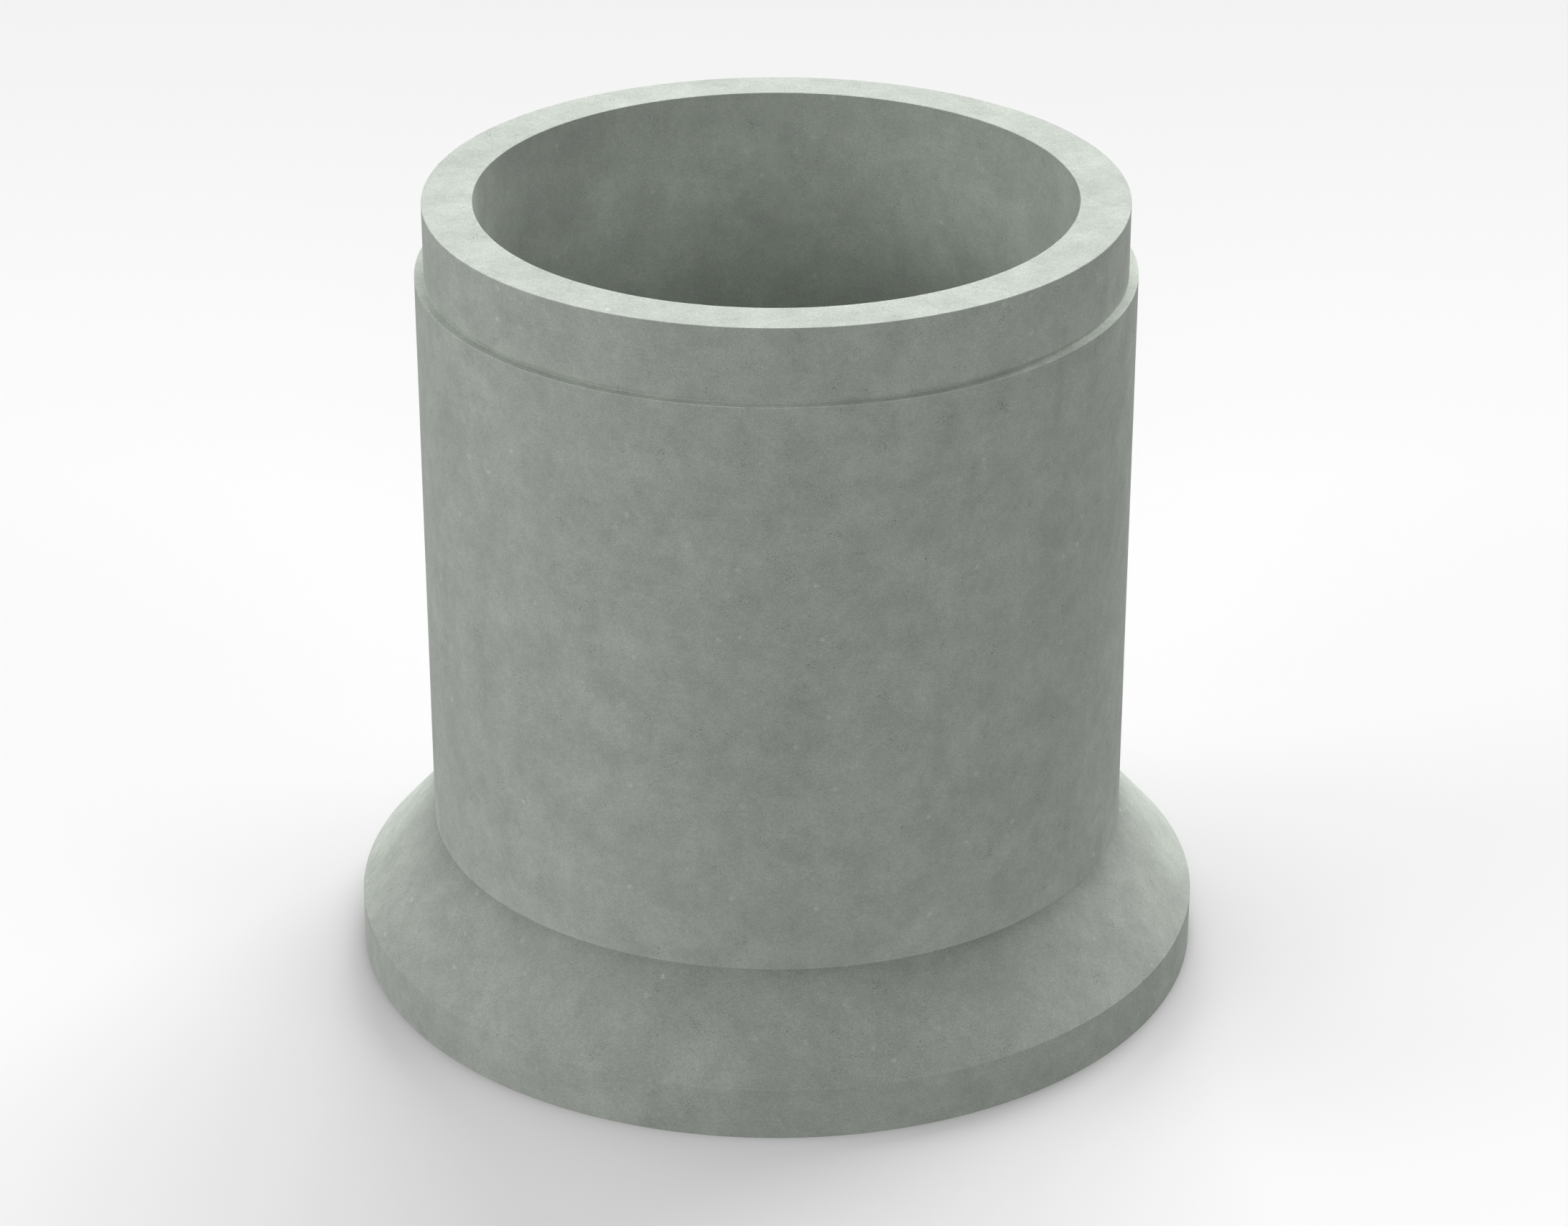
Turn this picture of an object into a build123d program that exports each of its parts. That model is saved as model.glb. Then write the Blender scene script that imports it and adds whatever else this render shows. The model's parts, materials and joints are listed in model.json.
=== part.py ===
"""Bell-and-spigot culvert ring, cast in one piece of plain concrete, standing on its bell.

Millimetres, +Z up. The origin is where the ring's axis meets the floor that the bell stands on.
The whole ring is one half-section of its wall, turned once round the axis.
"""

from build123d import *

import os

# Barrel
BORE_DIAMETER = 800
WALL = 80

# Length that one ring adds to a run, from the socket's seat to the spigot's end
LAYING_LENGTH = 1000

# Spigot at the top, a narrower collar that goes into the next ring's socket
SPIGOT_LENGTH = 100
SPIGOT_STEP = 12.5

# Bell at the bottom: an upright rim, and a straight cone from the rim up to the barrel
BELL_DIAMETER = 1170
RIM_HEIGHT = 72.5
BELL_HEIGHT = 193.5

# Socket inside the bell, wide enough for a spigot with mortar or a rubber ring round it. The
# spigot is a little longer than the socket is deep, so its end seats before the bell's mouth
# meets the ledge, and a narrow joint stays open outside.
SPIGOT_CLEARANCE = 12.5
OPEN_JOINT = 6
LEAD_IN = 12

# Radii and heights that follow from the sizes above
BORE_RADIUS = BORE_DIAMETER / 2
BARREL_RADIUS = BORE_RADIUS + WALL
SPIGOT_RADIUS = BARREL_RADIUS - SPIGOT_STEP
SOCKET_RADIUS = SPIGOT_RADIUS + SPIGOT_CLEARANCE
BELL_RADIUS = BELL_DIAMETER / 2
SOCKET_DEPTH = SPIGOT_LENGTH - OPEN_JOINT
HEIGHT = SOCKET_DEPTH + LAYING_LENGTH
LEDGE_HEIGHT = HEIGHT - SPIGOT_LENGTH


def wall_section():
    """Half-section of the wall, as radius and height: up the outside, and down the inside."""
    outside = [
        (SOCKET_RADIUS + LEAD_IN, 0),
        (BELL_RADIUS, 0),
        (BELL_RADIUS, RIM_HEIGHT),
        (BARREL_RADIUS, BELL_HEIGHT),
        (BARREL_RADIUS, LEDGE_HEIGHT),
        (SPIGOT_RADIUS, LEDGE_HEIGHT),
        (SPIGOT_RADIUS, HEIGHT),
    ]
    inside = [
        (BORE_RADIUS, HEIGHT),
        (BORE_RADIUS, SOCKET_DEPTH),
        (SOCKET_RADIUS, SOCKET_DEPTH),
        (SOCKET_RADIUS, LEAD_IN),
    ]
    with BuildSketch(Plane.XZ) as section:
        with BuildLine():
            Polyline(*outside, *inside, close=True)
        make_face()
    return section.sketch


def culvert_ring():
    """The cast ring: its wall's half-section turned a full turn round the upright axis."""
    return revolve(wall_section(), Axis.Z, 360)


def main():
    """Write the ring's one solid."""
    os.makedirs("parts", exist_ok=True)
    export_step(culvert_ring(), "parts/culvert_ring.step")


if __name__ == "__main__":
    main()
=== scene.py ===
import json
from math import cos, pi, radians, sin

import bpy
import numpy as np
from bpy.props import FloatProperty, FloatVectorProperty, IntProperty, PointerProperty
from bpy.types import Operator, Panel, PropertyGroup
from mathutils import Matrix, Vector


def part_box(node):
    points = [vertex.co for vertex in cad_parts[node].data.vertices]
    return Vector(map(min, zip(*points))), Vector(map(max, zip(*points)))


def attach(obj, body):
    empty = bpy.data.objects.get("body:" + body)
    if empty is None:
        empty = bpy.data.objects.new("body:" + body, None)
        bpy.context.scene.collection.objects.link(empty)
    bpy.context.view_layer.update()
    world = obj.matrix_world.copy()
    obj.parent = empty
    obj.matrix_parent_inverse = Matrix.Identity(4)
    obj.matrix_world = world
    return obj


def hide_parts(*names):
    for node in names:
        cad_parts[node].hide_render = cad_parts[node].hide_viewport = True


bl_info = {
    "name": "Concrete Culvert Ring",
    "version": (1, 0, 0),
    "blender": (4, 5, 0),
    "location": "3D View > Sidebar > Culvert",
    "description": "Casts a bell-and-spigot culvert ring in plain concrete and lights it in a studio",
    "category": "Object",
}

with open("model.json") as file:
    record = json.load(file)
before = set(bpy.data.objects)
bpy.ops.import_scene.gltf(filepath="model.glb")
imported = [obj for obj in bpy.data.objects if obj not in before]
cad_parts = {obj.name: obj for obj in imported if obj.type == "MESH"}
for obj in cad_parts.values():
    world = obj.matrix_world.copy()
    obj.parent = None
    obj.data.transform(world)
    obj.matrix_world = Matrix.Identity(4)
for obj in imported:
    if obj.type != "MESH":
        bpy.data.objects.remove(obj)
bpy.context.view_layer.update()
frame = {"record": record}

RING_NODE = "culvert_ring"
MOUNTS = {mount["name"]: mount for mount in frame["record"]["mounts"]}


def mount_size(name, size):
    """One of a packed mount's sizes, in metres."""
    return MOUNTS[name]["dims"][size] / 1000


# What a user may change


class CulvertRingSizes(PropertyGroup):
    """Sizes of the wall's section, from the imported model, and how true the mould's surface is"""

    height: FloatProperty(
        name="Height",
        description="From the bell's mouth to the spigot's end",
        default=MOUNTS["spigot"]["pos_m"][2],
        min=0.2,
        unit="LENGTH",
    )
    bore_radius: FloatProperty(
        name="Bore Radius",
        description="Inside radius of the barrel and the spigot",
        default=mount_size("waterway_bore", "r_mm"),
        min=0.05,
        unit="LENGTH",
    )
    barrel_radius: FloatProperty(
        name="Barrel Radius",
        description="Outside radius of the barrel",
        default=0.480,
        min=0.05,
        unit="LENGTH",
    )
    spigot_radius: FloatProperty(
        name="Spigot Radius",
        description="Outside radius of the collar on top",
        default=mount_size("spigot", "r_mm"),
        min=0.05,
        unit="LENGTH",
    )
    spigot_length: FloatProperty(
        name="Spigot Length",
        description="Height of the collar above its ledge",
        default=mount_size("spigot", "length_mm"),
        min=0.01,
        unit="LENGTH",
    )
    bell_radius: FloatProperty(
        name="Bell Radius",
        description="Outside radius of the bell's upright rim",
        default=-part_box(RING_NODE)[0].x,
        min=0.05,
        unit="LENGTH",
    )
    rim_height: FloatProperty(
        name="Rim Height",
        description="Height of the bell's upright rim",
        default=0.0725,
        min=0.005,
        unit="LENGTH",
    )
    bell_height: FloatProperty(
        name="Bell Height",
        description="Height at which the bell's cone meets the barrel",
        default=0.1935,
        min=0.01,
        unit="LENGTH",
    )
    socket_radius: FloatProperty(
        name="Socket Radius",
        description="Inside radius of the socket under the ring",
        default=mount_size("socket", "r_mm"),
        min=0.05,
        unit="LENGTH",
    )
    lead_in: FloatProperty(
        name="Lead-in",
        description="Leg of the chamfer at the socket's mouth",
        default=MOUNTS["socket"]["pos_m"][2],
        min=0.001,
        unit="LENGTH",
    )
    socket_depth: FloatProperty(
        name="Socket Depth",
        description="From the bell's mouth up to the socket's seat",
        default=MOUNTS["socket_seat"]["pos_m"][2],
        min=0.01,
        unit="LENGTH",
    )
    arris: FloatProperty(
        name="Arris Radius",
        description="Mean rounding of the cast edges",
        default=0.0009,
        min=0.0002,
        max=0.004,
        unit="LENGTH",
    )
    waviness: FloatProperty(
        name="Waviness",
        description="Greatest depth of the soft hollows that the mould left in the wall",
        default=0.0003,
        min=0.0,
        max=0.002,
        unit="LENGTH",
    )
    columns: IntProperty(
        name="Columns",
        description="Number of quads round the ring",
        default=512,
        min=64,
        max=720,
    )


class CulvertConcreteFinish(PropertyGroup):
    """Colours and relief of the cast concrete, and the strength of its painted shade and light"""

    concrete_colour: FloatVectorProperty(
        name="Concrete",
        description="Body colour of the dry concrete",
        default=(0.420, 0.456, 0.413),
        subtype="COLOR",
        min=0.0,
        max=1.0,
    )
    speck_colour: FloatVectorProperty(
        name="Specks",
        description="Colour of the fine blue-grey specks that lie in small clusters",
        default=(0.250, 0.280, 0.285),
        subtype="COLOR",
        min=0.0,
        max=1.0,
    )
    lime_colour: FloatVectorProperty(
        name="Lime Marks",
        description="Colour of the small pale marks where lime has bloomed",
        default=(0.560, 0.640, 0.575),
        subtype="COLOR",
        min=0.0,
        max=1.0,
    )
    # Painted shade: the bell's colour is darkened where it meets the barrel
    painted_crease_shade: FloatProperty(
        name="Crease Shade",
        description="How much darker the bell is where it meets the barrel",
        default=0.25,
        min=0.0,
        max=1.0,
        subtype="FACTOR",
    )
    # Painted light: the ledge's colour is made paler
    painted_ledge_light: FloatProperty(
        name="Ledge Paleness",
        description="How much paler the ledge under the collar is",
        default=0.22,
        min=0.0,
        max=1.0,
        subtype="FACTOR",
    )
    mottle: FloatProperty(
        name="Mottle",
        description="Strength of the soft clouds in the body colour",
        default=1.0,
        min=0.0,
        max=4.0,
    )
    roughness: FloatProperty(
        name="Roughness",
        description="Mean roughness of the surface",
        default=0.85,
        min=0.0,
        max=1.0,
        subtype="FACTOR",
    )
    grain_depth: FloatProperty(
        name="Grain Depth",
        description="Depth of the sandy grain",
        default=0.00004,
        min=0.0,
        max=0.002,
        unit="LENGTH",
        precision=5,
    )


class CulvertStudio(PropertyGroup):
    """The floor's tone, the strength of the lamps and the place of the camera"""

    floor_tone: FloatProperty(
        name="Floor Tone",
        description="Grey of the floor as the camera sees it lit",
        default=0.5,
        min=0.0,
        max=1.0,
        subtype="FACTOR",
    )
    floor_bounce: FloatProperty(
        name="Floor Bounce",
        description="Grey of the floor for the light that it throws back on the ring",
        default=0.1,
        min=0.0,
        max=1.0,
        subtype="FACTOR",
    )
    floor_glow: FloatProperty(
        name="Floor Glow",
        description="Light that only the camera and reflections see on the floor, 1 is white",
        default=0.31,
        min=0.0,
        max=1.0,
        subtype="FACTOR",
    )
    lamp_level: FloatProperty(
        name="Lamp Level",
        description="Factor on the power of all the lamps",
        default=1.0,
        min=0.0,
        max=10.0,
    )
    camera_distance: FloatProperty(
        name="Camera Distance",
        description="From the camera to the point it looks at",
        default=6.0091,
        min=1.0,
        unit="LENGTH",
    )
    camera_elevation: FloatProperty(
        name="Camera Elevation",
        description="Angle of the camera's view above the floor",
        default=radians(26.045),
        min=0.0,
        max=pi / 2,
        subtype="ANGLE",
    )
    camera_target: FloatVectorProperty(
        name="Camera Target",
        description="Point that the camera looks at",
        default=(0.010123, 0.0, 0.478565),
        subtype="TRANSLATION",
    )


# The ring's skin, a surface of revolution

# Distance between rows along the section, in metres, and quads along a rounded corner
ROW_SPACING = 0.021
ARC_STEPS = 4

# Room kept on either side of a corner for its arc, in mean arris radii, and the share of that room
# that the arc takes up on the flat map
ARRIS_ROOM = 3.0
ARC_MAP_SHARE = 0.4

# Smallest arris radius and what is added to it at most, as shares of the mean
ARRIS_LEAST = 0.6
ARRIS_SPAN = 0.8

# Height over which the hollows in the wall set in above the mouth, in metres
BED_HEIGHT = 0.03

# Number of cosines, highest counts round the ring and along the section, how fast they weaken as
# their counts rise, and the seed of their draw
ARRIS_WAVES = (40, (90, 0), 0.2, 11)
WALL_WAVES = (140, (34, 30), 0.55, 5)


def ledge_height(sizes):
    """Height of the ledge that the spigot rises from."""
    return sizes.height - sizes.spigot_length


def wall_corners(sizes):
    """Corners of the wall's half-section as radius and height, anticlockwise: along the mouth, up the
    outside, over the spigot's end and down the inside."""
    if not sizes.bore_radius < sizes.spigot_radius < sizes.barrel_radius < sizes.bell_radius:
        raise ValueError("The bore, spigot, barrel and bell have to be each wider than the last.")
    ledge = ledge_height(sizes)
    return np.array(
        [
            (sizes.socket_radius + sizes.lead_in, 0.0),
            (sizes.bell_radius, 0.0),
            (sizes.bell_radius, sizes.rim_height),
            (sizes.barrel_radius, sizes.bell_height),
            (sizes.barrel_radius, ledge),
            (sizes.spigot_radius, ledge),
            (sizes.spigot_radius, sizes.height),
            (sizes.bore_radius, sizes.height),
            (sizes.bore_radius, sizes.socket_depth),
            (sizes.socket_radius, sizes.socket_depth),
            (sizes.socket_radius, sizes.lead_in),
        ]
    )


def section_rows(corners, room):
    """Rows of the closed section. Each row is a point base + q · offset, where q is the arris radius.

    At a corner, a is the edge's direction that comes in, n is the normal on the side that the path
    turns to, and t is the angle it turns by. The arc's point at sweep s, from 0 to t, is
    corner + q · (a · (sin s - tan(t / 2)) + n · (1 - cos s)), which is on both edges at its ends.
    Between two arcs, rows stand the room away from the corners and at even steps.
    Returns base, offset, the outward normal and the path length of every row, and the whole length."""
    ahead = np.roll(corners, -1, 0) - corners
    lengths = np.linalg.norm(ahead, axis=1)
    ahead /= lengths[:, None]
    behind = np.roll(ahead, 1, 0)
    turn = np.arctan2(
        behind[:, 0] * ahead[:, 1] - behind[:, 1] * ahead[:, 0], (behind * ahead).sum(1)
    )
    inner = np.sign(turn)[:, None] * np.stack([-behind[:, 1], behind[:, 0]], 1)
    travelled = np.concatenate([[0.0], np.cumsum(lengths)])
    map_steps = room * np.linspace(-ARC_MAP_SHARE, ARC_MAP_SHARE, ARC_STEPS + 1)
    base, offset, normal, path = [], [], [], []
    for k, corner in enumerate(corners):
        half = abs(turn[k]) / 2
        sweep = np.linspace(0, 2 * half, ARC_STEPS + 1)[:, None]
        base.append(np.repeat(corner[None], ARC_STEPS + 1, 0))
        offset.append(
            behind[k] * (np.sin(sweep) - np.tan(half)) + inner[k] * (1 - np.cos(sweep))
        )
        direction = behind[k] * np.cos(sweep) + inner[k] * np.sin(sweep)
        normal.append(np.stack([direction[:, 1], -direction[:, 0]], 1))
        path.append(travelled[k] + map_steps)
        free = lengths[k] - 2 * room
        steps = max(int(round(free / ROW_SPACING)), 1)
        along = room + free * np.linspace(0, 1, steps + 1)[:, None]
        base.append(corner + ahead[k] * along)
        offset.append(np.zeros((len(along), 2)))
        normal.append(np.repeat([[ahead[k][1], -ahead[k][0]]], len(along), 0))
        path.append(travelled[k] + along[:, 0])
    return [np.concatenate(part) for part in (base, offset, normal, path)] + [travelled[-1]]


def closed_waves(around, along, count, highest, fade, seed):
    """Sum of cosines that closes on itself both ways, scaled to the range 0 to 1.

    The height is the sum over k of w_k · cos(m_k · around + n_k · along + p_k), where m_k and n_k are
    whole numbers up to the highest, w_k falls as (m_k² + n_k² + 1) to the power -fade, and both
    coordinates run over a full turn. As cos(A + B) = cos A · cos B - sin A · sin B, it is two matrix
    products."""
    draw = np.random.default_rng(seed)
    m = draw.integers(1, highest[0] + 1, count) * draw.choice([-1, 1], count)
    n = draw.integers(0, highest[1] + 1, count)
    phase = draw.uniform(0, 2 * pi, count)
    weight = (m**2 + n**2 + 1.0) ** -fade
    a = np.outer(m, around) + phase[:, None]
    b = np.outer(along, n)
    height = (np.cos(b) * weight) @ np.cos(a) - (np.sin(b) * weight) @ np.sin(a)
    return (height - height.min()) / (height.max() - height.min())


def ring_grid(sizes):
    """Points of the ring's whole skin on a grid of path rows by turn columns, and each row's share of
    the path.

    A row's point is its section point, turned by the column's angle v: (r cos v, r sin v, z). The
    arris radius q changes with v about its mean, and the skin lies below the section by a soft wave,
    which fades out at the mouth, so that the ring stands flat."""
    room = ARRIS_ROOM * sizes.arris
    base, offset, normal, path, total = section_rows(wall_corners(sizes), room)
    turn = np.arange(sizes.columns) * 2 * pi / sizes.columns
    unevenness = closed_waves(turn, np.zeros(1), *ARRIS_WAVES)
    arris = sizes.arris * (ARRIS_LEAST + ARRIS_SPAN * unevenness)
    wave = closed_waves(turn, path * 2 * pi / total, *WALL_WAVES)
    bed = np.clip(base[:, 1] / BED_HEIGHT, 0, 1)[:, None]
    depth = sizes.waviness * wave * bed
    radius = base[:, :1] + offset[:, :1] * arris - normal[:, :1] * depth
    height = base[:, 1:] + offset[:, 1:] * arris - normal[:, 1:] * depth
    points = np.stack([radius * np.cos(turn), radius * np.sin(turn), height], -1)
    return points, path / total


def closed_skin(name, points, path_share):
    """Mesh of a grid of points that is joined to itself both ways, with quads that face outwards.

    Its UV map is the skin laid out flat: u is the share of a full turn, v the share of the path."""
    rows, columns = points.shape[:2]
    row, column = [part.ravel() for part in np.mgrid[0:rows, 0:columns]]
    next_row, next_column = (row + 1) % rows, (column + 1) % columns
    quads = np.stack(
        [
            row * columns + column,
            row * columns + next_column,
            next_row * columns + next_column,
            next_row * columns + column,
        ],
        1,
    )
    mesh = bpy.data.meshes.new(name)
    mesh.from_pydata(points.reshape(-1, 3).tolist(), [], quads.tolist())
    u = np.stack([column, column + 1, column + 1, column], 1) / columns
    low = path_share[row]
    high = np.append(path_share, 1 + path_share[0])[row + 1]
    v = np.stack([low, low, high, high], 1) - path_share.min()
    mesh.uv_layers.new(name="OFBake").data.foreach_set("uv", np.stack([u, v], -1).ravel())
    mesh.polygons.foreach_set("use_smooth", np.ones(len(quads), bool))
    mesh.update()
    mesh.validate()
    return mesh


# Shader nodes

# Distances between columns and rows of nodes in the node editor
NODE_COLUMN = 200
NODE_ROW = 180


def clear_tree(owner):
    """The emptied node tree of a material or world."""
    owner.use_nodes = True
    owner.node_tree.nodes.clear()
    return owner.node_tree


def add_node(tree, kind, sockets=None, **settings):
    """Adds one shader node. A socket is given a value, or the output socket that feeds it."""
    node = tree.nodes.new("ShaderNode" + kind)
    for key, value in settings.items():
        setattr(node, key, value)
    for key, value in (sockets or {}).items():
        if isinstance(value, bpy.types.NodeSocket):
            tree.links.new(value, node.inputs[key])
        else:
            node.inputs[key].default_value = value
    return node


def set_out(tree):
    """Sets the nodes out in columns, by the most links that lead from each to the output node."""
    depth = {node.name: 0 for node in tree.nodes}
    for _ in tree.nodes:
        for link in tree.links:
            source, target = link.from_node.name, link.to_node.name
            depth[source] = max(depth[source], depth[target] + 1)
    filled = dict.fromkeys(depth.values(), 0)
    for node in tree.nodes:
        column = depth[node.name]
        node.location = (-NODE_COLUMN * column, -NODE_ROW * filled[column])
        filled[column] += 1


def calc(tree, operation, a, b=0.0):
    """One sum, product or other operation on two values, or on the first alone."""
    return add_node(tree, "Math", {0: a, 1: b}, operation=operation).outputs[0]


def product(tree, first, *others):
    """Product of any number of values."""
    for other in others:
        first = calc(tree, "MULTIPLY", first, other)
    return first


def falling(tree, distance, reach):
    """e to the power -distance / reach, which is 1 at no distance and falls to 0."""
    return calc(tree, "EXPONENT", calc(tree, "DIVIDE", distance, -reach))


def split(tree, vector):
    """The three parts of a vector."""
    return add_node(tree, "SeparateXYZ", {0: vector}).outputs


def length(tree, *parts):
    """Length of the vector that has these parts."""
    vector = add_node(tree, "CombineXYZ", dict(enumerate(parts))).outputs[0]
    return add_node(tree, "VectorMath", {0: vector}, operation="LENGTH").outputs["Value"]


def remap(tree, value, source, target=(0.0, 1.0)):
    """The value's range source taken to the range target, and clamped there."""
    ends = dict(zip(("From Min", "From Max", "To Min", "To Max"), (*source, *target)))
    return add_node(tree, "MapRange", {"Value": value, **ends}).outputs["Result"]


def noise(tree, vector, scale, detail, roughness):
    """Noise with about scale lumps to a metre, as the output socket of its value."""
    sockets = {"Vector": vector, "Scale": scale, "Detail": detail, "Roughness": roughness}
    return add_node(tree, "TexNoise", sockets).outputs["Fac"]


def blend(tree, factor, a, b, blend_type="MIX"):
    """Colour b over colour a, by the factor."""
    sockets = {0: factor, 6: a, 7: b}
    return add_node(tree, "Mix", sockets, data_type="RGBA", blend_type=blend_type).outputs[2]


# Concrete

# Noise patterns: lumps to a metre, detail and roughness
CLOUDS = (15.0, 3.0, 0.8)
DRIFT = (4.0, 2.0, 0.4)
GRIT = (130.0, 1.0, 0.7)
GRAIN = (430.0, 2.0, 1.0)
DUST = (800.0, 1.0, 1.0)
SPECK_CLUSTERS = (34.0, 2.0, 0.5)
SPECKS = (380.0, 1.0, 0.5)
LIME_BREAKS = (300.0, 2.0, 0.5)

# How much flatter than wide the fine patterns are, drawn out round the mould
FLATNESS = 1.8

# Ranges that most of the soft and most of the fine noise lies in
SOFT_RANGE = (0.25, 0.75)
FINE_RANGE = (0.2, 0.8)

# Factors on the colour: half the swing of the clouds and of the drift, and the ends of the others
CLOUD_SWING = 0.14
DRIFT_SWING = CLOUD_SWING / 4
GRIT_TONE = (0.955, 1.045)
GRAIN_TONE = (0.74, 1.26)
DUST_TONE = (0.72, 1.28)

# Noise values between which a cluster of specks and a speck set in
CLUSTER_EDGE = (0.59, 0.70)
SPECK_EDGE = (0.56, 0.68)

# Lime marks: cells to a metre, a mark's edge as a distance from its cell's point, the cells' own
# numbers between which they set in, and the noise values that break them up
LIME_CELLS = 30.0
LIME_EDGE = (0.16, 0.03)
LIME_CHOICE = (0.50, 0.60)
LIME_BREAK_EDGE = (0.38, 0.58)

# Height of the grit against the grain's, how far the roughness swings with the grain, and how
# bright the highlights of the dry surface are
GRIT_HEIGHT = 1.5
ROUGHNESS_SWING = 0.06
HIGHLIGHTS = 0.2

# Reach of the painted shade under the barrel's foot, where the bell's cone meets it, and the heights
# about the foot between which it sets in, in metres
CREASE_REACH = 0.03
CREASE_EDGE = (0.0005, -0.0005)

# Distances from the ledge's height, and outwards from the bore, between which its painted light sets
# in
LEDGE_EDGE = (0.0015, 0.0007)
LEDGE_INSIDE = (0.01, 0.02)


def painted_corner_shade_and_light(tree, place, sizes, finish):
    """Factor on the colour near two corners of the section, by radius and height, which paints shade
    and light.

    Under the barrel's foot it is 1 - shade · exp(-d / reach), a painted shade, where d is the distance
    in the section from the corner. On the ledge, within a millimetre of its height, it is 1 +
    paleness, a painted light."""
    x, y, z = split(tree, place)
    radius = length(tree, x, y)
    out = calc(tree, "SUBTRACT", radius, sizes.barrel_radius)
    up = calc(tree, "SUBTRACT", z, sizes.bell_height)
    faded = falling(tree, length(tree, out, up), CREASE_REACH)
    # Painted shade under the barrel's foot
    shade = product(tree, faded, remap(tree, up, CREASE_EDGE), finish.painted_crease_shade)
    # Painted light on the ledge
    off_ledge = calc(tree, "ABSOLUTE", calc(tree, "SUBTRACT", z, ledge_height(sizes)))
    near = remap(tree, off_ledge, LEDGE_EDGE)
    outside = remap(tree, calc(tree, "SUBTRACT", radius, sizes.bore_radius), LEDGE_INSIDE)
    pale = product(tree, near, outside, finish.painted_ledge_light)
    return calc(tree, "ADD", calc(tree, "SUBTRACT", 1.0, shade), pale)


def speck_cover(tree, place, drawn):
    """Share of the fine dark specks: specks of one noise, where another noise puts a cluster."""
    cluster = remap(tree, noise(tree, place, *SPECK_CLUSTERS), CLUSTER_EDGE)
    return product(tree, cluster, remap(tree, noise(tree, drawn, *SPECKS), SPECK_EDGE))


def lime_cover(tree, place, drawn):
    """Share of the pale lime marks: a spot round the point of some cells, broken up by noise."""
    cells = add_node(tree, "TexVoronoi", {"Vector": place, "Scale": LIME_CELLS}).outputs
    spot = remap(tree, cells["Distance"], LIME_EDGE)
    chosen = remap(tree, cells["Color"], LIME_CHOICE)
    broken = remap(tree, noise(tree, drawn, *LIME_BREAKS), LIME_BREAK_EDGE)
    return product(tree, spot, chosen, broken)


def concrete_material(finish, sizes):
    """Plain cast concrete: soft clouds, sandy grain drawn out round the mould, clusters of fine dark
    specks and a few pale lime marks, with painted shade under the barrel's foot and painted light on
    the ledge, all in object space."""
    material = bpy.data.materials.new("cast_concrete")
    tree = clear_tree(material)
    place = add_node(tree, "TexCoord").outputs["Object"]
    flatten = {"Vector": place, "Scale": (1.0, 1.0, FLATNESS)}
    drawn = add_node(tree, "Mapping", flatten).outputs[0]

    # The first factor paints shade under the barrel's foot and light on the ledge
    tones = [painted_corner_shade_and_light(tree, place, sizes, finish)]
    for pattern, swing in ((CLOUDS, CLOUD_SWING), (DRIFT, DRIFT_SWING)):
        ends = (1 - swing * finish.mottle, 1 + swing * finish.mottle)
        tones.append(remap(tree, noise(tree, place, *pattern), SOFT_RANGE, ends))
    grain, grit, dust = [noise(tree, drawn, *pattern) for pattern in (GRAIN, GRIT, DUST)]
    for pattern, ends in ((grain, GRAIN_TONE), (grit, GRIT_TONE), (dust, DUST_TONE)):
        tones.append(remap(tree, pattern, FINE_RANGE, ends))
    body = (*finish.concrete_colour, 1.0)
    colour = blend(tree, 1.0, body, product(tree, *tones), "MULTIPLY")
    colour = blend(tree, speck_cover(tree, place, drawn), colour, (*finish.speck_colour, 1.0))
    colour = blend(tree, lime_cover(tree, place, drawn), colour, (*finish.lime_colour, 1.0))

    ends = (finish.roughness - ROUGHNESS_SWING, finish.roughness + ROUGHNESS_SWING)
    relief = calc(tree, "ADD", grain, calc(tree, "MULTIPLY", grit, GRIT_HEIGHT))
    bump = add_node(tree, "Bump", {"Height": relief, "Distance": finish.grain_depth})
    sockets = {
        "Base Color": colour,
        "Roughness": remap(tree, grain, FINE_RANGE, ends),
        "Normal": bump.outputs["Normal"],
        "Specular IOR Level": HIGHLIGHTS,
    }
    surface = add_node(tree, "BsdfPrincipled", sockets).outputs["BSDF"]
    add_node(tree, "OutputMaterial", {"Surface": surface})
    set_out(tree)
    return material


class CULVERT_OT_cast_ring(Operator):
    """Cast the ring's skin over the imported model, in concrete"""

    bl_idname = "culvert.cast_ring"
    bl_label = "Cast Ring"

    def execute(self, context):
        scene = context.scene
        points, path_share = ring_grid(scene.culvert_ring)
        ring = bpy.data.objects.new(
            "culvert_ring_casting", closed_skin("culvert_ring_casting", points, path_share)
        )
        scene.collection.objects.link(ring)
        ring.data.materials.append(concrete_material(scene.culvert_finish, scene.culvert_ring))
        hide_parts(RING_NODE)
        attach(ring, "root")
        return {"FINISHED"}


# Studio

# Half the floor's width, in metres
FLOOR_HALF = 30.0

# Painted shadow on the floor close to the ring's foot and to its sides, and painted light in front of
# it, each with its reach in metres, and the power that narrows the sides and the front
CONTACT_SHADE, CONTACT_REACH = 0.2, 0.01
SIDE_SHADE, SIDE_REACH = 0.2, 0.22
FRONT_PAINTED_LIGHT, FRONT_REACH = 0.16, 0.09
DIRECTION_POWER = 4.0

# Distances behind the ring between which the floor's tone falls off as a painted shade, in metres,
# and its two ends
BACK_RANGE = (1.5, 4.5)
BACK_TONE = (1.0, 0.9)

# Focal length and sensor width in millimetres, and how far the camera sees in metres
LENS = 100.0
SENSOR_WIDTH = 36.0
SIGHT = 100.0

# How far off the lamps are drawn, in metres, which makes no difference to their light
LAMP_DISTANCE = 6.0

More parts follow.
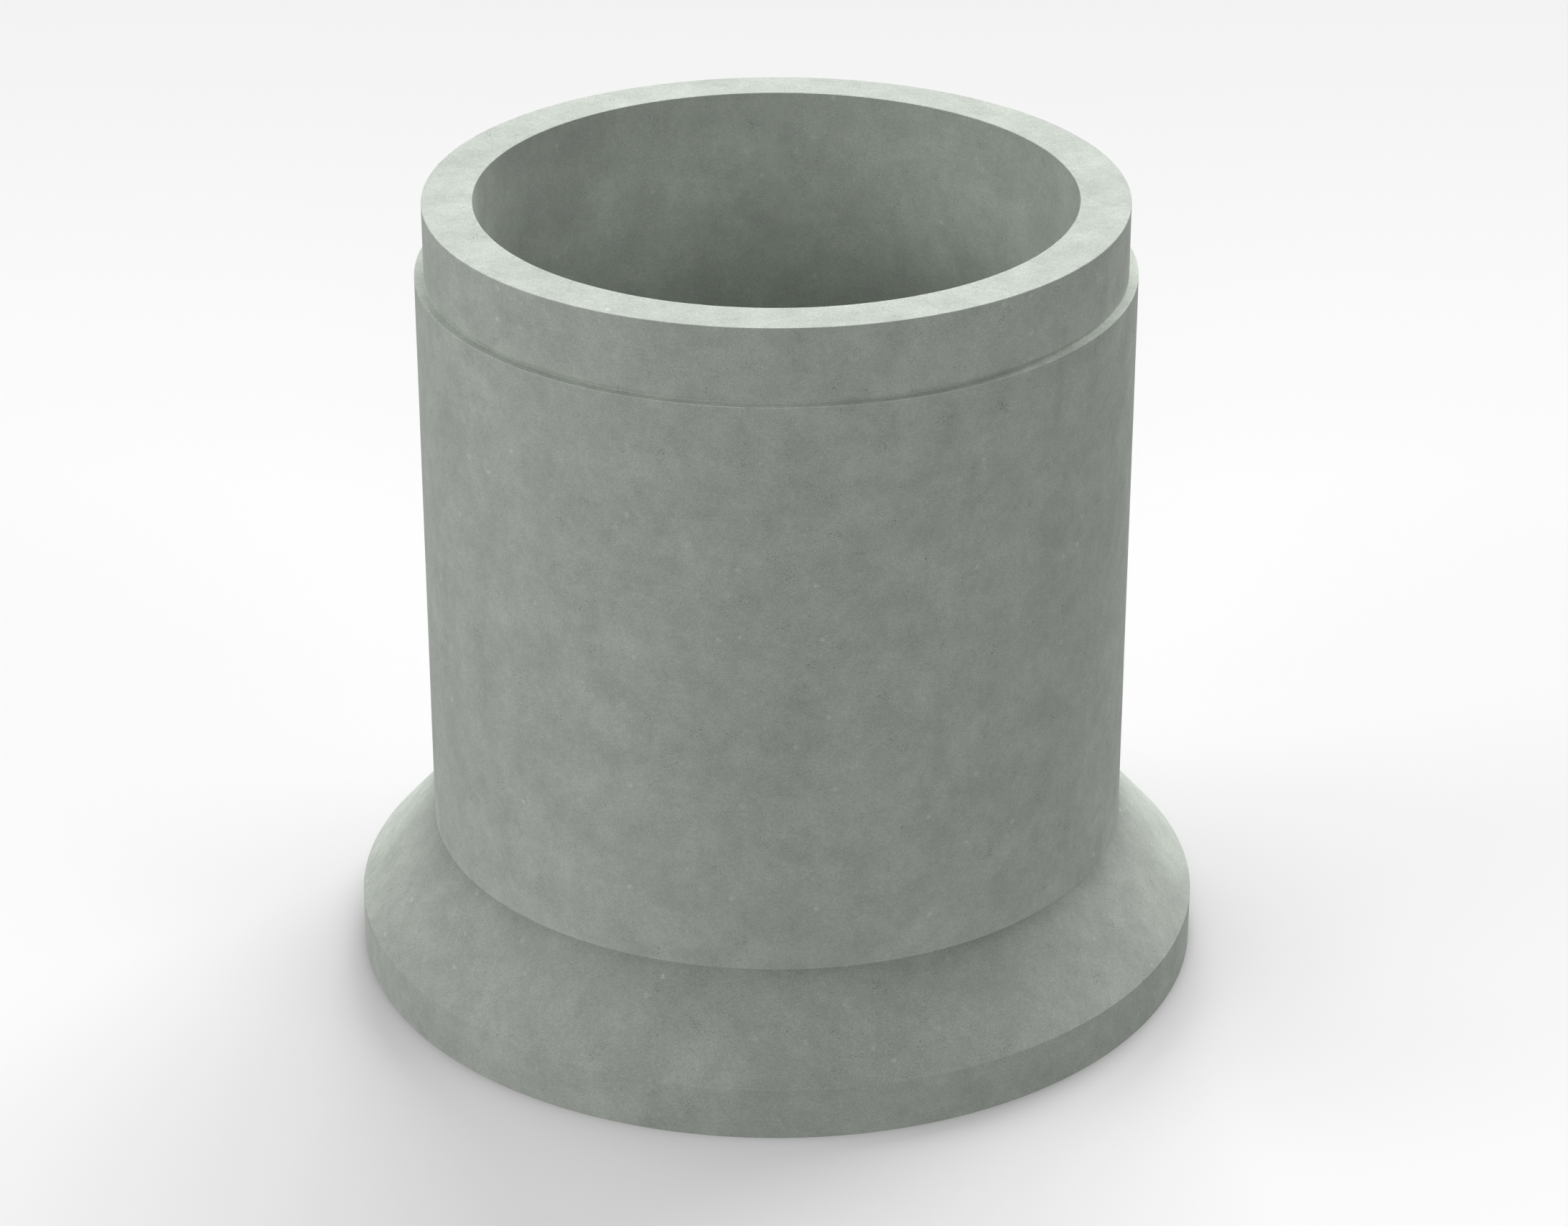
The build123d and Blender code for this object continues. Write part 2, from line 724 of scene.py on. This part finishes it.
# Name, then elevation, azimuth and angular size in degrees, then watts a square metre. Azimuth 0 is
# the camera's side, and 90 is to the right. The low lamps shine up through the floor
LAMPS = (
    ("ceiling_light", 80, 180, 16, 0.2),
    ("back_light", 22, 180, 24, 2.7),
    ("right_back_light", 42, 150, 34, 2.5),
    ("left_back_light", 42, 210, 34, 0.7),
    ("left_light", 22, 270, 24, 0.75),
    ("left_front_light", 22, 300, 24, 0.52),
    ("right_front_light", 22, 60, 24, 0.48),
    ("front_light", 22, 0, 24, 0.5),
    ("low_front_light", -10, 0, 16, 0.46),
    ("low_left_light", -10, 270, 16, 0.5),
    ("low_right_light", -10, 90, 16, 0.3),
)


def seen_directly(tree):
    """1 for rays from the camera, off a glossy surface or through glass, and 0 for the others."""
    rays = add_node(tree, "LightPath").outputs
    seen = calc(tree, "MAXIMUM", rays["Is Camera Ray"], rays["Is Glossy Ray"])
    return calc(tree, "MAXIMUM", seen, rays["Is Transmission Ray"])


def painted_floor_shadow(tree, sizes):
    """Factor on the floor's tone by the distance d from the ring's foot: a painted shadow round the
    foot and to the sides, and a painted light in front.

    It is 1 - contact · exp(-d / reach) - side · s⁴ · exp(-d / reach)
    + front · f⁴ · (1 - exp(-d / reach)), each with its own reach, where s and f are the sideways and
    the forward part of the direction from the axis, and fade to 0 inside the ring. Far behind the
    ring it falls off by a tenth, a painted shade."""
    x, y, _ = split(tree, add_node(tree, "TexCoord").outputs["Object"])
    from_axis = calc(tree, "MAXIMUM", length(tree, x, y), sizes.bell_radius)
    distance = calc(tree, "SUBTRACT", from_axis, sizes.bell_radius)
    aside = calc(tree, "ABSOLUTE", calc(tree, "DIVIDE", x, from_axis))
    behind = calc(tree, "DIVIDE", y, from_axis)
    ahead = calc(tree, "MAXIMUM", calc(tree, "MULTIPLY", behind, -1.0))
    contact = product(tree, falling(tree, distance, CONTACT_REACH), CONTACT_SHADE)
    sideways = calc(tree, "POWER", aside, DIRECTION_POWER)
    side = product(tree, falling(tree, distance, SIDE_REACH), SIDE_SHADE, sideways)
    away = calc(tree, "SUBTRACT", 1.0, falling(tree, distance, FRONT_REACH))
    front = product(tree, away, calc(tree, "POWER", ahead, DIRECTION_POWER), FRONT_PAINTED_LIGHT)
    dark = calc(tree, "ADD", contact, side)
    shade = calc(tree, "ADD", calc(tree, "SUBTRACT", 1.0, dark), front)
    return product(tree, shade, remap(tree, y, BACK_RANGE, BACK_TONE))


def floor_material(studio, sizes):
    """Matt pale grey with a glow where it is seen directly, and a darker grey for the light that it
    throws back. Its tone and glow carry a painted shadow round the ring and a painted light in front."""
    material = bpy.data.materials.new("pale_floor")
    tree = clear_tree(material)
    seen = seen_directly(tree)
    # Painted shadow round the ring's foot and painted light in front of it, on the tone and the glow
    shade = painted_floor_shadow(tree, sizes)
    shown = add_node(tree, "BsdfDiffuse", {"Color": product(tree, shade, studio.floor_tone)})
    bounce = (studio.floor_bounce,) * 3 + (1.0,)
    lit = add_node(tree, "BsdfDiffuse", {"Color": bounce})
    matt = add_node(tree, "MixShader", {0: seen, 1: lit.outputs[0], 2: shown.outputs[0]})
    strength = product(tree, seen, studio.floor_glow, shade)
    glow = add_node(tree, "Emission", {"Strength": strength})
    both = add_node(tree, "AddShader", {0: matt.outputs[0], 1: glow.outputs[0]})
    add_node(tree, "OutputMaterial", {"Surface": both.outputs[0]})
    set_out(tree)
    return material


def lay_floor(studio, sizes):
    """A wide level floor at the ring's foot. It is a light table: it catches the ring's shadow, and
    casts none itself, so that the lower lights reach the ring."""
    mesh = bpy.data.meshes.new("studio_floor")
    corners = [(-1, -1, 0), (1, -1, 0), (1, 1, 0), (-1, 1, 0)]
    mesh.from_pydata((np.array(corners) * FLOOR_HALF).tolist(), [], [(0, 1, 2, 3)])
    mesh.materials.append(floor_material(studio, sizes))
    floor = bpy.data.objects.new("studio_floor", mesh)
    floor.visible_shadow = False
    bpy.context.scene.collection.objects.link(floor)


def hang_lamps(studio):
    """Soft lights from far off, each turned to face the ring."""
    for name, elevation, azimuth, angle, strength in LAMPS:
        up, across = radians(elevation), radians(azimuth)
        outward = Vector((cos(up) * sin(across), -cos(up) * cos(across), sin(up)))
        light = bpy.data.lights.new(name, "SUN")
        light.angle = radians(angle)
        light.energy = strength * studio.lamp_level
        lamp = bpy.data.objects.new(name, light)
        lamp.location = outward * LAMP_DISTANCE
        lamp.rotation_euler = outward.to_track_quat("Z", "Y").to_euler()
        bpy.context.scene.collection.objects.link(lamp)


def set_backdrop():
    """A world that is white to the eye and gives no light of its own."""
    world = bpy.data.worlds.new("white_backdrop")
    tree = clear_tree(world)
    sockets = {"Color": (1.0, 1.0, 1.0, 1.0), "Strength": seen_directly(tree)}
    back = add_node(tree, "Background", sockets)
    add_node(tree, "OutputWorld", {"Surface": back.outputs[0]})
    set_out(tree)
    bpy.context.scene.world = world


def set_camera(studio):
    """The camera looks along +Y at its target, from the elevation angle above it."""
    data = bpy.data.cameras.new("studio_camera")
    data.lens = LENS
    data.sensor_width = SENSOR_WIDTH
    data.clip_end = SIGHT
    camera = bpy.data.objects.new("studio_camera", data)
    up = studio.camera_elevation
    away = Vector((0.0, -cos(up), sin(up))) * studio.camera_distance
    camera.location = Vector(studio.camera_target) + away
    camera.rotation_euler = (pi / 2 - up, 0.0, 0.0)
    bpy.context.scene.collection.objects.link(camera)
    bpy.context.scene.camera = camera


class CULVERT_OT_set_studio(Operator):
    """Lay the pale floor, hang the soft lamps and set the camera"""

    bl_idname = "culvert.set_studio"
    bl_label = "Set Studio"

    def execute(self, context):
        studio = context.scene.culvert_studio
        lay_floor(studio, context.scene.culvert_ring)
        hang_lamps(studio)
        set_backdrop()
        set_camera(studio)
        context.scene.view_settings.view_transform = "Standard"
        return {"FINISHED"}


# Panel and registration


class CULVERT_PT_sidebar(Panel):
    """Steps and sizes of the culvert ring"""

    bl_idname = "CULVERT_PT_sidebar"
    bl_label = "Culvert Ring"
    bl_space_type = "VIEW_3D"
    bl_region_type = "UI"
    bl_category = "Culvert"

    def draw(self, context):
        scene = context.scene
        for operator, groups in (
            (CULVERT_OT_cast_ring, (scene.culvert_ring, scene.culvert_finish)),
            (CULVERT_OT_set_studio, (scene.culvert_studio,)),
        ):
            box = self.layout.box()
            box.operator(operator.bl_idname)
            for group in groups:
                for name in group.__annotations__:
                    box.prop(group, name)


CLASSES = (
    CulvertRingSizes,
    CulvertConcreteFinish,
    CulvertStudio,
    CULVERT_OT_cast_ring,
    CULVERT_OT_set_studio,
    CULVERT_PT_sidebar,
)


def register():
    """Registers the classes, and puts their settings on every scene."""
    for cls in CLASSES:
        bpy.utils.register_class(cls)
    bpy.types.Scene.culvert_ring = PointerProperty(type=CulvertRingSizes)
    bpy.types.Scene.culvert_finish = PointerProperty(type=CulvertConcreteFinish)
    bpy.types.Scene.culvert_studio = PointerProperty(type=CulvertStudio)


def unregister():
    """Takes back what register does."""
    del bpy.types.Scene.culvert_studio
    del bpy.types.Scene.culvert_finish
    del bpy.types.Scene.culvert_ring
    for cls in reversed(CLASSES):
        bpy.utils.unregister_class(cls)


def main():
    """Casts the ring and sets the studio."""
    register()
    bpy.ops.culvert.cast_ring()
    bpy.ops.culvert.set_studio()


if __name__ == "__main__":
    main()
